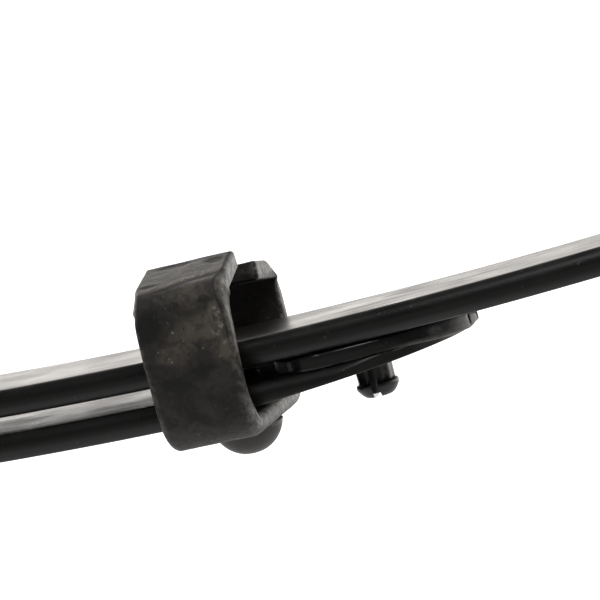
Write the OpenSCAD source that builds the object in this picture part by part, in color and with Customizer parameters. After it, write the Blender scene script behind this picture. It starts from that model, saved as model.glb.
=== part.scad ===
// Semi-elliptic leaf spring with three leaves, rubber-bushed eyes, riveted rebound clips
// and snap-in tip liners. The origin is on the centre bolt's axis, on the face that sits
// on the axle. +X runs along the spring to the front eye, +Y across it and +Z up.

/* [Leaves] */
// Width of every leaf
leaf_w = 63; // [50:1:76]
// Thickness of every leaf
leaf_t = 9.5; // [8:0.5:12]
// Radius of each leaf's middle surface outside the flat seat
leaf_r = 2000; // [1700:50:2600]
// Length of the flat seat in the middle of every leaf
seat_l = 120; // [100:5:150]
// Gap between two leaves at the seat
leaf_gap = 6; // [5:0.5:8]
// Main leaf, from the centre bolt to below the eye, along the leaf
main_half = 690; // [660:10:760]
// Second leaf, from the centre bolt to its tip, along the leaf
second_half = 555; // [530:5:580]
// Third leaf, from the centre bolt to its tip, along the leaf
third_half = 345; // [310:5:380]

/* [Leaf tips] */
// Length over which a tip narrows to its nose
nose_l = 54; // [44:2:60]
// Length over which the underside of a tip thins
taper_l = 96; // [80:2:110]
// Thickness left at the tip
tip_t = 1.7; // [1.5:0.1:4]

/* [Eyes and bushes] */
// Radius of the bore rolled in each end of the main leaf
eye_r = 22; // [20:0.5:24]
// Angle that the leaf wraps round the bush
eye_wrap = 308; // [290:1:312]
// Wall of the bush's outer sleeve
outer_sleeve_wall = 2; // [1.5:0.5:3]
// Outer radius of the bush's inner sleeve
inner_sleeve_r = 12; // [10:0.5:14]
// Radius of the hole for the eye bolt
eye_bolt_r = 7.1; // [6:0.05:8.1]
// Length of the inner sleeve, which the hangers clamp
inner_sleeve_l = 70; // [66:1:80]

/* [Rebound clips] */
// Width of the clip's strap, along the leaf
clip_w = 32; // [26:0.5:34]
// Thickness of the clip's strap
clip_t = 6.8; // [5:0.1:7]
// From a leaf's tip back to the middle of its clip
clip_back = 86.5; // [84:0.5:90]
// Half of the flat under the leaf
clip_flat = 32.5; // [31:0.1:33]
// Radius inside each bottom bend
clip_bend_r = 5; // [4:0.5:6]
// Length of the side wall above the bend on the -Y side, on a clip round two leaves
right_wall_l = 37.4; // [36:0.1:44]
// Length of the side wall above the bend on the +Y side, on a clip round two leaves
left_wall_l = 34.7; // [34:0.1:44]
// Length of each straight lip that is folded over the main leaf
clip_lip_l = 24.6; // [16:0.1:26]
// Angle from upright that the lip on the -Y side is folded through
right_lip_angle = 75.5; // [60:0.5:95]
// Angle from upright that the lip on the +Y side is folded through
left_lip_angle = 85; // [60:0.5:95]

/* [Rivets and bolt] */
// From the middle of a clip outwards to its rivet
rivet_off = 2.8; // [0:0.1:3]
// Radius of a rivet's shank
rivet_r = 5; // [4:0.5:6]
// Radius of a rivet's domed head
rivet_dome_r = 12.5; // [10:0.1:14]
// Height of a rivet's domed head
rivet_dome_h = 10.3; // [7:0.1:12]
// Radius of the centre bolt's shank
centre_bolt_r = 5; // [4:0.5:6]
// Radius of the centre bolt's round locating head
centre_head_r = 8; // [7:0.5:10]
// Height of the centre bolt's round locating head
centre_head_h = 8; // [6:0.5:12]

/* [Tip liners] */
// Length of a liner's pad
liner_l = 70; // [64:1:72]
// Radius of the corners at a pad's inner end
liner_end_r = 18; // [6:1:24]
// Thickness of a liner's pad between two leaves
liner_t = 5.1; // [4:0.1:5.4]
// From a leaf's tip back to its liner's stud
stud_back = 35.5; // [32:0.5:40]
// Radius of the stud's grooved stem
stud_r = 6.8; // [5:0.1:7]
// Largest radius of the stud's barbs
barb_r = 7.6; // [7.2:0.1:8]

/* [Hidden] */

// Leaves are numbered from the top: 0 is the main leaf, 1 the second and 2 the third
main = 0;
second = 1;
third = 2;
half_length = [main_half, second_half, third_half];
pitch = leaf_t + leaf_gap;
function mid_z(leaf) = leaf_t / 2 + (third - leaf) * pitch;
// Angle that a leaf has turned at distance s along it from the centre bolt
function turn_at(s) = (s - seat_l / 2) / leaf_r * 180 / PI;

// Rolled side edges of the bar: arcs flatter than a half round
edge_r = 0.65 * leaf_t;
edge_half_angle = asin(leaf_t / 2 / edge_r);
edge_steps = 6;

// A fit that slides together with no play to speak of, and one with play
snug = 0.05;
loose = 0.2;
stack_top = leaf_t + 2 * pitch;
bolt_hole_r = centre_bolt_r + 0.25;
eye_mid_r = eye_r + leaf_t / 2;
outer_sleeve_l = leaf_w - 3;
rubber_l = leaf_w + 3;
nut_h = 8;
nut_across_corners_r = 17 / 2 / cos(30);
bolt_tail = 3;
// The bolt's head and nut sit in shallow spot faces, wider than they are by this much
spot_depth = 0.3;
spot_margin = 1;
// The clip's plate hangs this far below the leaf, so that its bends clear the leaf's edges
clip_drop = 0.3;
clip_lean_out = 6.5;
clip_lean_in = 8;
crease_r = 4.7;
rivet_head_r = 8.5;
rivet_head_h = 2.5;
liner_lip = 4.2;
liner_lip_t = 1.2;
liner_lip_gap = 1.6;
liner_lip_back = 8;
liner_inset = 1;
stud_end = 12.4;
barb_shoulder = 7.3;
barb_land = 1.2;
barb_end_r = 5.2;
slot_w = 2.6;
web_t = 4;
big = 200;

steel_black = [0.10, 0.10, 0.11];
clip_brown = [0.17, 0.15, 0.14];
rivet_brown = [0.22, 0.20, 0.19];
plastic_black = [0.05, 0.05, 0.05];
rubber_black = [0.08, 0.08, 0.08];
plated_steel = [0.55, 0.55, 0.53];

// ---- Placing ----

// Puts children on a leaf's middle surface, at distance s from the centre bolt, with
// +X outwards along the leaf and +Z square to it
module on_leaf(leaf, s) {
    a = turn_at(s);
    translate([seat_l / 2 + leaf_r * sin(a), 0, mid_z(leaf) + leaf_r * (1 - cos(a))])
        rotate([0, -a, 0])
            children();
}

// The same thing at the rear half of the spring
module rear() {
    mirror([1, 0, 0])
        children();
}

module at_eye() {
    on_leaf(main, main_half)
        translate([0, 0, eye_mid_r])
            rotate([90, 0, 0])
                children();
}

// Sweeps a section of radius and width from one distance along a leaf to another
module bend_along(leaf, from, to) {
    translate([seat_l / 2, 0, mid_z(leaf) + leaf_r])
        rotate([90, 0, 0])
            rotate([0, 0, turn_at(from) - 90])
                rotate_extrude(angle = turn_at(to) - turn_at(from), $fn = 720)
                    children();
}

// ---- Leaves ----

function edge_points(side) = [
    for (i = [0 : edge_steps])
        let (a = side * edge_half_angle * (2 * i / edge_steps - 1))
            [edge_r * sin(a), side * (leaf_w / 2 - edge_r + edge_r * cos(a))]
];

// Bar section, with its thickness along x and its width along y
module leaf_section() {
    polygon(concat(edge_points(1), edge_points(-1)));
}

module half_bar(leaf) {
    bend_along(leaf, seat_l / 2, half_length[leaf])
        translate([leaf_r, 0])
            leaf_section();
}

module bar(leaf) {
    translate([0, 0, mid_z(leaf)])
        rotate([90, 0, 90])
            linear_extrude(seat_l, center = true)
                rotate(90)
                    leaf_section();
    half_bar(leaf);
    rear() half_bar(leaf);
}

module bolt_hole() {
    translate([0, 0, -1])
        cylinder(h = stack_top + 2, r = bolt_hole_r, $fn = 48);
    translate([0, 0, -1])
        cylinder(h = 1 + spot_depth, r = centre_head_r + spot_margin, $fn = 64);
    translate([0, 0, stack_top - spot_depth])
        cylinder(h = 1 + spot_depth, r = nut_across_corners_r + spot_margin, $fn = 64);
}

// Half of a nose's width as a share of the leaf's, at share u of its length
function nose_share(u) = sqrt(1 - pow(u, 2.4));
nose_steps = 14;
// The nose's curve starts this far outside the leaf, so that it meets the side at an angle
nose_start = 0.4;
function nose_points(side) = [
    for (i = [0 : nose_steps])
        let (u = 1 - pow(1 - i / nose_steps, 2))
            [u, side * nose_share(u)]
];

// Plan of a nose that starts at x = 0 with half width w and ends at x = l
module nose_plan(l, w) {
    outline = concat([[-1, 1]], nose_points(1), [for (i = [nose_steps - 1 : -1 : 0])
        nose_points(-1)[i]], [[-1, -1]]);
    polygon([for (p = outline) [p.x * l, p.y * w]]);
}

// What is cut from a square-ended leaf to make its tip
module tip_waste() {
    translate([-nose_l, 0, 0])
        linear_extrude(4 * leaf_t, center = true)
            difference() {
                translate([0, -leaf_w])
                    square([nose_l + 5, 2 * leaf_w]);
                nose_plan(nose_l, leaf_w / 2 + nose_start);
            }
    sag = taper_l * taper_l / 2 / leaf_r;
    translate([0, 0, leaf_t / 2 - tip_t])
        rotate([0, -atan((leaf_t - tip_t - sag) / taper_l), 0])
            translate([-1.3 * taper_l, -leaf_w, -2 * leaf_t])
                cube([1.3 * taper_l + 10, 2 * leaf_w, 2 * leaf_t]);
}

// Distance from the centre bolt to a leaf's rivet
function rivet_at(leaf) = half_length[leaf] - clip_back + rivet_off;

module hole_in_leaf(leaf, s, r) {
    on_leaf(leaf, s)
        cylinder(h = 3 * leaf_t, r = r, center = true, $fn = 48);
}

module short_leaf(leaf) {
    tip = half_length[leaf];
    difference() {
        bar(leaf);
        bolt_hole();
        for (end = [0, 1])
            mirror([end, 0, 0]) {
                on_leaf(leaf, tip) tip_waste();
                hole_in_leaf(leaf, rivet_at(leaf), rivet_r + loose);
                hole_in_leaf(leaf, tip - stud_back, stud_r + loose);
            }
    }
}

module eye() {
    at_eye()
        rotate([0, 0, -90])
            rotate_extrude(angle = eye_wrap, $fn = 96)
                translate([eye_mid_r, 0])
                    leaf_section();
}

module main_leaf() {
    color(steel_black)
        difference() {
            union() {
                bar(main);
                eye();
                rear() eye();
            }
            bolt_hole();
        }
}

module second_leaf() {
    color(steel_black)
        short_leaf(second);
}

module third_leaf() {
    color(steel_black)
        short_leaf(third);
}

// ---- Seat ----

// Plate that keeps two leaves apart where the axle clamps them
module seat_spacer(under) {
    color(steel_black)
        difference() {
            translate([-seat_l / 2 + 1, -leaf_w / 2, mid_z(under) + leaf_t / 2])
                cube([seat_l - 2, leaf_w, leaf_gap]);
            bolt_hole();
        }
}

module centre_bolt() {
    chamfer = 1;
    color(plated_steel)
        rotate_extrude($fn = 64)
            polygon([
                [0, -centre_head_h],
                [centre_head_r - chamfer, -centre_head_h],
                [centre_head_r, -centre_head_h + chamfer],
                [centre_head_r, spot_depth],
                [centre_bolt_r, spot_depth],
                [centre_bolt_r, stack_top + nut_h + bolt_tail - chamfer],
                [centre_bolt_r - chamfer, stack_top + nut_h + bolt_tail],
                [0, stack_top + nut_h + bolt_tail]
            ]);
}

module centre_nut() {
    color(plated_steel)
        translate([0, 0, stack_top - spot_depth])
            difference() {
                cylinder(h = nut_h, r = nut_across_corners_r, $fn = 6);
                translate([0, 0, -1])
                    cylinder(h = nut_h + 2, r = centre_bolt_r + snug, $fn = 48);
            }
}

// ---- Bushes ----

module tube(length, outer, inner) {
    difference() {
        cylinder(h = length, r = outer, center = true, $fn = 96);
        cylinder(h = length + 2, r = inner, center = true, $fn = 96);
    }
}

module eye_outer_sleeve() {
    color(plated_steel)
        at_eye()
            tube(outer_sleeve_l, eye_r - snug, eye_r - outer_sleeve_wall);
}

module eye_rubber() {
    outer = eye_r - outer_sleeve_wall - snug / 2;
    inner = inner_sleeve_r + snug;
    bulge = 1.5;
    color(rubber_black)
        at_eye()
            rotate_extrude($fn = 96)
                polygon([
                    [inner, -rubber_l / 2],
                    [outer - 3, -rubber_l / 2],
                    [outer, -rubber_l / 2 + bulge],
                    [outer, rubber_l / 2 - bulge],
                    [outer - 3, rubber_l / 2],
                    [inner, rubber_l / 2]
                ]);
}

module eye_inner_sleeve() {
    color(plated_steel)
        at_eye()
            tube(inner_sleeve_l, inner_sleeve_r, eye_bolt_r);
}

// ---- Rebound clips ----

// Points and headings round a bend of radius r that starts at p with heading h
bend_steps = 8;
function bend(p, h, r, turn) = [
    for (i = [1 : bend_steps])
        let (a = h + turn * i / bend_steps)
            [p + r * [sin(a) - sin(h), cos(h) - cos(a)], a]
];
function last(list) = list[len(list) - 1];

// Middle line of half a strap, from the end of its flat to the end of its lip.
// Each entry is a point across and up the clip, and the heading there.
function strap_line(wall_l, lip_angle) =
    let (
        lean = clip_lean_out + clip_lean_in,
        foot = [[[clip_flat, 0], 0]],
        corner = bend(foot[0][0], 0, clip_bend_r + clip_t / 2, 90 - clip_lean_out),
        wall = bend(last(corner)[0], 90 - clip_lean_out, wall_l / lean * 180 / PI, lean),
        crease = bend(last(wall)[0], 90 + clip_lean_in, crease_r, lip_angle - clip_lean_in),
        h = last(crease)[1],
        lip = [[last(crease)[0] + clip_lip_l * [cos(h), sin(h)], h]]
    )
    concat(foot, corner, wall, crease, lip);

// The strap's face at distance d to the left of its middle line
function strap_face(line, d, side) = [
    for (e = line)
        let (q = e[0] + d * [-sin(e[1]), cos(e[1])])
            [side * q.x, q.y]
];
function reversed(list) = [for (i = [len(list) - 1 : -1 : 0]) list[i]];

module clip(leaf) {
    deeper = (leaf - second) * pitch;
    left = strap_line(left_wall_l + deeper, left_lip_angle);
    right = strap_line(right_wall_l + deeper, right_lip_angle);
    outside = -clip_t / 2;
    color(clip_brown)
        difference() {
            on_leaf(leaf, half_length[leaf] - clip_back)
                translate([0, 0, -leaf_t / 2 - clip_drop - clip_t / 2])
                    rotate([90, 0, 90])
                        linear_extrude(clip_w, center = true)
                            polygon(concat(
                                strap_face(left, outside, 1),
                                reversed(strap_face(left, -outside, 1)),
                                strap_face(right, -outside, -1),
                                reversed(strap_face(right, outside, -1))
                            ));
            hole_in_leaf(leaf, rivet_at(leaf), rivet_r + snug);
        }
}

// Domed head under the clip's plate and a low head on top of the leaf
module rivet(leaf) {
    ball_r = (rivet_dome_r * rivet_dome_r + rivet_dome_h * rivet_dome_h) / 2 / rivet_dome_h;
    rim = asin(rivet_dome_r / ball_r);
    dome_steps = 10;
    plate = -leaf_t / 2 - clip_drop - clip_t - snug;
    top = leaf_t / 2 + 2 * snug;
    color(rivet_brown)
        on_leaf(leaf, rivet_at(leaf))
            rotate_extrude($fn = 64)
                polygon(concat(
                    [for (i = [0 : dome_steps])
                        let (a = rim * i / dome_steps)
                            [ball_r * sin(a), plate - rivet_dome_h + ball_r * (1 - cos(a))]],
                    [
                        [rivet_r, plate],
                        [rivet_r, top],
                        [rivet_head_r, top],
                        [rivet_head_r - 1, top + rivet_head_h],
                        [0, top + rivet_head_h]
                    ]
                ));
}

// ---- Tip liners ----

// Slab on top of a leaf, between two heights above its top face, from the liner's
// inner end past the leaf's tip
module liner_slab(leaf, low, high) {
    tip = half_length[leaf];
    bend_along(leaf, tip - liner_l + liner_lip - 1, tip + liner_lip + 1)
        translate([leaf_r - leaf_t / 2 - high, -leaf_w / 2 - 1])
            square([high - low, leaf_w + 2]);
}

module liner_plan(leaf, grow) {
    on_leaf(leaf, half_length[leaf])
        translate([-nose_l, 0, 0])
            linear_extrude(6 * leaf_t, center = true)
                nose_plan(nose_l + grow, leaf_w / 2 - liner_inset);
}

// Points round one corner of the pad's inner end, from the side inwards
corner_steps = 8;
function pad_corner(side) = [
    for (i = [0 : corner_steps])
        let (a = 90 * i / corner_steps, r = liner_end_r)
            [r - r * sin(a), side * (leaf_w / 2 - liner_inset + nose_start - r + r * cos(a))]
];

// Everything outside the pad's rounded inner end
module pad_end(leaf) {
    on_leaf(leaf, half_length[leaf])
        translate([liner_lip - liner_l, 0, 0])
            linear_extrude(6 * leaf_t, center = true)
                polygon(concat(
                    [[2 * liner_l, -leaf_w], [2 * liner_l, leaf_w], [liner_end_r, leaf_w]],
                    pad_corner(1),
                    reversed(pad_corner(-1)),
                    [[liner_end_r, -leaf_w]]
                ));
}

// Stem with barbs, grooved on both sides down to a web, which snaps through the leaf
module stud(leaf) {
    on_leaf(leaf, half_length[leaf] - stud_back) {
        top = leaf_t / 2 + 1;
        under = leaf_t / 2 - tip_t - (leaf_t - tip_t) * stud_back / taper_l;
        difference() {
            rotate_extrude($fn = 64)
                polygon([
                    [0, top],
                    [0, under - stud_end],
                    [barb_end_r, under - stud_end],
                    [barb_r, under - barb_shoulder - barb_land],
                    [barb_r, under - barb_shoulder],
                    [stud_r, under - barb_shoulder + 0.6],
                    [stud_r, top]
                ]);
            for (side = [0, 1])
                mirror([0, side, 0])
                    translate([-slot_w / 2, web_t / 2, under - big])
                        cube([slot_w, big, big]);
        }
    }
}

module liner(leaf) {
    color(plastic_black)
        union() {
            intersection() {
                liner_slab(leaf, 2 * snug, 2 * snug + liner_t);
                liner_plan(leaf, liner_lip);
                pad_end(leaf);
            }
            intersection() {
                liner_slab(leaf, -liner_lip_t, 1);
                difference() {
                    liner_plan(leaf, liner_lip);
                    liner_plan(leaf, liner_lip_gap);
                    on_leaf(leaf, half_length[leaf] - big / 2 - liner_lip_back)
                        cube(big, center = true);
                }
            }
            stud(leaf);
        }
}

main_leaf();
second_leaf();
third_leaf();
seat_spacer(second);  // upper_seat_spacer
seat_spacer(third);  // lower_seat_spacer
centre_bolt();
centre_nut();
eye_outer_sleeve();  // front_eye_outer_sleeve
eye_rubber();  // front_eye_rubber
eye_inner_sleeve();  // front_eye_inner_sleeve
rear() eye_outer_sleeve();  // rear_eye_outer_sleeve
rear() eye_rubber();  // rear_eye_rubber
rear() eye_inner_sleeve();  // rear_eye_inner_sleeve
clip(second);  // front_outer_clip
rivet(second);  // front_outer_rivet
liner(second);  // front_outer_liner
rear() clip(second);  // rear_outer_clip
rear() rivet(second);  // rear_outer_rivet
rear() liner(second);  // rear_outer_liner
clip(third);  // front_inner_clip
rivet(third);  // front_inner_rivet
liner(third);  // front_inner_liner
rear() clip(third);  // rear_inner_clip
rear() rivet(third);  // rear_inner_rivet
rear() liner(third);  // rear_inner_liner
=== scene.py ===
"""Looks of a three-leaf semi-elliptic spring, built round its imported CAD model. Metres, +Z up."""

import math
import bmesh
import bpy
from mathutils import Matrix, Vector, noise


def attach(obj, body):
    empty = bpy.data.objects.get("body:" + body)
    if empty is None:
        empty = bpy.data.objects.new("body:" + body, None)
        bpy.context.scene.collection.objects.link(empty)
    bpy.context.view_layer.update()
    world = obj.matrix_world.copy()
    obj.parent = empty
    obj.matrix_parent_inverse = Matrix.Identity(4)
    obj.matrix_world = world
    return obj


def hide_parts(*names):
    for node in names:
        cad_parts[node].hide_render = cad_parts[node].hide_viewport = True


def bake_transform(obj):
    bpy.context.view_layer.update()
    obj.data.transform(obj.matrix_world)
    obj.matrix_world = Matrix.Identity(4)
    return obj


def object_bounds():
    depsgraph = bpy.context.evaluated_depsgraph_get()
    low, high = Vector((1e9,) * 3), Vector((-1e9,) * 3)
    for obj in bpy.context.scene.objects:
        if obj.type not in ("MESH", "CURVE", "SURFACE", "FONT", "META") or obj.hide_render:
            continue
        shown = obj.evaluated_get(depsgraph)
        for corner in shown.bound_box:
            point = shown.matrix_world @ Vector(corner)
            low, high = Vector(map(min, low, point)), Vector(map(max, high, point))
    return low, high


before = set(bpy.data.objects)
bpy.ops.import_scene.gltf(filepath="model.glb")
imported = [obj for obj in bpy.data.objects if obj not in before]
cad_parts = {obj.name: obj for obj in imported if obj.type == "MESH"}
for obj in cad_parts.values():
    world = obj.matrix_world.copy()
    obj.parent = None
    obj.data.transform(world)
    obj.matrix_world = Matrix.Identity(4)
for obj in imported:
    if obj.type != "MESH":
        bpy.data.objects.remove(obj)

cad_low, cad_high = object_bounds()

# Sizes of the CAD part
LEAF_W, LEAF_T, LEAF_R, SEAT = 0.063, 0.0095, 2.0, 0.060
PITCH = 0.0155
MAIN, SECOND, THIRD = 0, 1, 2
HALF = [0.690, 0.555, 0.345]
MID_Z = [LEAF_T / 2 + (THIRD - leaf) * PITCH for leaf in (MAIN, SECOND, THIRD)]
EDGE_R = 0.65 * LEAF_T
NOSE_L, TAPER_L, TIP_T = 0.054, 0.096, 0.0017
EYE_R, EYE_WRAP = 0.022, math.radians(308)
CLIP_W, CLIP_T, CLIP_BACK, CLIP_DROP = 0.032, 0.0068, 0.0865, 0.0003
CLIP_FLAT, CLIP_BEND_R, CLIP_LIP, CREASE_R = 0.0325, 0.005, 0.0246, 0.0047
CLIP_WALL = {1: 0.0347, -1: 0.0374}
LEAN_OUT, LEAN_IN = math.radians(6.5), math.radians(8)
LIP_ANGLE = {1: math.radians(85), -1: math.radians(75.5)}
DOME_R, DOME_H, RIVET_R, RIVET_OFF = 0.0125, 0.0103, 0.005, 0.0028
PAD_L, PAD_T, PAD_LIP, PAD_INSET, PAD_END_R = 0.070, 0.0051, 0.0042, 0.001, 0.018
STUD_BACK, STUD_R, BARB_R, SLOT_W = 0.0355, 0.0068, 0.0076, 0.0026
SHELL_L, SHELL_T, CORE_L, CORE_R, CORE_BORE = 0.060, 0.002, 0.070, 0.012, 0.0071
STACK = LEAF_T + 2 * PITCH
NUT_SPOT, NUT_H, NUT_FLATS, BOLT_R, BOLT_TAIL, THREAD = 0.0003, 0.008, 0.017, 0.005, 0.003, 0.0015

# Left between pieces that only touch
FIT_GAP = 0.00005

# How much a bend in the strap spreads its inner side, and how far along the strap that reaches
SPREAD, SPREAD_L = 0.21, 0.0038

# Where the main leaf's top is scraped, from the centre bolt, and over what length
SCRAPED, SCRAPE_L = (0.525, 0.315), 0.045


# ---- Places ----


def on_leaf(leaf, s):
    """A leaf's middle surface at distance s from the centre bolt: point, along the leaf, square to it."""
    a = max(s - SEAT, 0.0) / LEAF_R
    x = min(s, SEAT) + LEAF_R * math.sin(a)
    z = MID_Z[leaf] + LEAF_R * (1 - math.cos(a))
    return (
        Vector((x, 0, z)),
        Vector((math.cos(a), 0, math.sin(a))),
        Vector((-math.sin(a), 0, math.cos(a))),
    )


ACROSS = Vector((0, 1, 0))


# ---- Mesh code ----


class Shape:
    """Vertices, faces, corner UVs in metres and per-vertex marks, collected before they become one mesh."""

    def __init__(self):
        self.verts, self.faces, self.uvs = [], [], []
        self.wear, self.rub_and_painted_light = [], []

    def add(self, co, wear=0.0, rub_and_painted_light=0.0):
        self.verts.append(Vector(co))
        self.wear.append(wear)
        self.rub_and_painted_light.append(rub_and_painted_light)
        return len(self.verts) - 1

    def face(self, corners, uvs):
        self.faces.append(tuple(corners))
        self.uvs.append(list(uvs))

    def loft(self, rings, us, ends=(True, True), wrap=False):
        """Quads between closed rings of (point, girth, wear, rub); us are the distances along."""
        n = len(rings[0])
        index = [[self.add(p, w, t) for p, _, w, t in ring] for ring in rings]
        girth = [ring[-1][1] + (ring[0][0] - ring[-1][0]).length for ring in rings]
        pairs = [(i, i + 1) for i in range(len(rings) - 1)]
        if wrap:
            pairs.append((len(rings) - 1, 0))
        for i, k in pairs:
            u1 = us[k] if k else us[i] + (us[1] - us[0])
            for j in range(n):
                m = (j + 1) % n
                v0, v1 = rings[i][j][1], rings[i][m][1] if m else girth[i]
                w0, w1 = rings[k][j][1], rings[k][m][1] if m else girth[k]
                self.face(
                    (index[i][j], index[i][m], index[k][m], index[k][j]),
                    ((us[i], v0), (us[i], v1), (u1, w1), (u1, w0)),
                )
        for i, on in ((0, ends[0]), (len(rings) - 1, ends[1])):
            if on and not wrap:
                centre = sum((r[0] for r in rings[i]), Vector()) / n
                side = (rings[i][0][0] - centre).normalized()
                other = side.cross((rings[i][n // 4][0] - centre).normalized()).cross(side).normalized()
                self.face(
                    index[i],
                    [((r[0] - centre).dot(side), (r[0] - centre).dot(other)) for r in rings[i]],
                )

    def lathe(self, profile, place, turns=72, wobble=0.0):
        """Turns (radius, height, wear) points about the third axis of place; closed at the poles."""
        o, x, y, z = place
        rings, along, last = [], 0.0, None
        for r, h, w in profile:
            if last is not None:
                along += math.hypot(r - last[0], h - last[1])
            last = (r, h)
            if r < 1e-7:
                rings.append(([self.add(o + z * h, w)], along, r))
                continue
            ring = []
            for i in range(turns):
                a = 2 * math.pi * i / turns
                rr = r
                if wobble:
                    rr += wobble * noise.noise(
                        Vector((90 * r * math.cos(a), 90 * r * math.sin(a), 90 * h)) + o * 7
                    )
                ring.append(self.add(o + x * (rr * math.cos(a)) + y * (rr * math.sin(a)) + z * h, w))
            rings.append((ring, along, r))
        for (a, ua, ra), (b, ub, rb) in zip(rings, rings[1:]):
            for i in range(turns):
                k = (i + 1) % turns
                g0, g1 = 2 * math.pi * i / turns, 2 * math.pi * (i + 1) / turns
                r = max(ra, rb)
                if len(a) == 1:
                    self.face((a[0], b[i], b[k]), ((ua, g0 * r), (ub, g0 * r), (ub, g1 * r)))
                elif len(b) == 1:
                    self.face((a[i], b[0], a[k]), ((ua, g0 * r), (ub, g0 * r), (ua, g1 * r)))
                else:
                    self.face(
                        (a[i], b[i], b[k], a[k]),
                        ((ua, g0 * r), (ub, g0 * r), (ub, g1 * r), (ua, g1 * r)),
                    )

    def ring_lathe(self, profile, place, turns=96, wobble=0.0):
        """Turns a closed profile of (radius, height, wear) points about the third axis of place."""
        o, x, y, z = place
        rings, us = [], []
        size = max(r for r, _, _ in profile)
        for i in range(turns):
            a = 2 * math.pi * i / turns
            out, girth, last = [], 0.0, None
            for r, h, w in profile:
                if last is not None:
                    girth += math.hypot(r - last[0], h - last[1])
                last = (r, h)
                rr = r
                if wobble:
                    rr += wobble * noise.noise(Vector((70 * r * math.cos(a), 70 * r * math.sin(a), 70 * h)))
                out.append((o + x * (rr * math.cos(a)) + y * (rr * math.sin(a)) + z * h, girth, w, 0.0))
            rings.append(out)
            us.append(size * a)
        self.loft(rings, us, wrap=True)

    def flipped(self):
        """The same shape at the other end of the spring."""
        other = Shape()
        other.verts = [Vector((-v.x, v.y, v.z)) for v in self.verts]
        other.faces = [tuple(reversed(f)) for f in self.faces]
        other.uvs = [[(u + 3.1, v + 0.7) for u, v in reversed(uv)] for uv in self.uvs]
        other.wear, other.rub_and_painted_light = list(self.wear), list(self.rub_and_painted_light)
        return other

    def build(self, name, material, sharp=32):
        mesh = bpy.data.meshes.new(name)
        mesh.from_pydata(self.verts, [], self.faces)
        layer = mesh.uv_layers.new(name="metres")
        layer.data.foreach_set("uv", [x for uv in self.uvs for corner in uv for x in corner])
        for label, values in (("wear", self.wear), ("rub_and_painted_light", self.rub_and_painted_light)):
            mesh.attributes.new(label, "FLOAT", "POINT").data.foreach_set("value", values)
        bm = bmesh.new()
        bm.from_mesh(mesh)
        bmesh.ops.recalc_face_normals(bm, faces=bm.faces)
        bm.to_mesh(mesh)
        bm.free()
        mesh.shade_smooth()
        mesh.set_sharp_from_angle(angle=math.radians(sharp))
        piece = bpy.data.objects.new(name, mesh)
        bpy.context.scene.collection.objects.link(piece)
        mesh.materials.append(material)
        return piece


def both_ends(shape, label, material, node=None, bends=False, sharp=32):
    """Builds a shape at the front and its mirror image at the rear, and ties each to its arm unless bends is
    set, when it only bakes its placement into the mesh.
    """
    for end, built, side in (("front", shape, 1), ("rear", shape.flipped(), -1)):
        piece = built.build(f"{end}_{label}", material, sharp)
        if bends:
            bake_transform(piece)
        else:
            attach(piece, f"{end}_arm")
        if node:
            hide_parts(node.replace("END", end))


# ---- Materials ----


class Look:
    """A Principled material and short calls that add nodes to it."""

    def __init__(self, name, **sockets):
        self.material = bpy.data.materials.new(name)
        self.material.use_nodes = True
        self.tree = self.material.node_tree
        self.shader = self.tree.nodes["Principled BSDF"]
        for key, value in sockets.items():
            self.shader.inputs[key.replace("_", " ")].default_value = value

    def put(self, socket, value):
        if isinstance(value, bpy.types.NodeSocket):
            self.tree.links.new(value, socket)
        else:
            socket.default_value = value

    def to(self, **sockets):
        for key, value in sockets.items():
            self.put(self.shader.inputs[key.replace("_", " ")], value)

    def node(self, kind, inputs=(), out=0, **props):
        n = self.tree.nodes.new("ShaderNode" + kind)
        for key, value in props.items():
            setattr(n, key, value)
        for key, value in dict(inputs).items():
            self.put(n.inputs[key], value)
        return n.outputs[out]

    def uv(self, u=1.0, v=1.0):
        where = self.node("UVMap", uv_map="metres")
        return self.node("Mapping", {"Vector": where, "Scale": (u, v, 1.0)})

    def place(self, x=1.0, y=1.0, z=1.0):
        where = self.node("TexCoord", out="Object")
        return self.node("Mapping", {"Vector": where, "Scale": (x, y, z)})

    def noise(self, where, scale, detail=3.0, rough=0.55, distort=0.0):
        return self.node(
            "TexNoise",
            {"Vector": where, "Scale": scale, "Detail": detail, "Roughness": rough, "Distortion": distort},
        )

    def cells(self, where, scale):
        return self.node("TexVoronoi", {"Vector": where, "Scale": scale}, out="Distance")

    def level(self, value, low, high, to_low=0.0, to_high=1.0):
        return self.node(
            "MapRange",
            {"Value": value, "From Min": low, "From Max": high, "To Min": to_low, "To Max": to_high},
            interpolation_type="SMOOTHSTEP",
        )

    def calc(self, operation, a, b=0.0):
        return self.node("Math", {0: a, 1: b}, operation=operation)

    def blend(self, share, a, b):
        n = self.tree.nodes.new("ShaderNodeMix")
        n.data_type = "RGBA"
        self.put(n.inputs[0], share)
        self.put(n.inputs[6], a if isinstance(a, bpy.types.NodeSocket) else (*a, 1))
        self.put(n.inputs[7], b if isinstance(b, bpy.types.NodeSocket) else (*b, 1))
        return n.outputs[2]

    def bump(self, height, strength, distance, under=None):
        inputs = {"Height": height, "Strength": strength, "Distance": distance}
        if under is not None:
            inputs["Normal"] = under
        return self.node("Bump", inputs)

    def mark(self, name):
        return self.node("Attribute", attribute_name=name, out="Fac")


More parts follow.
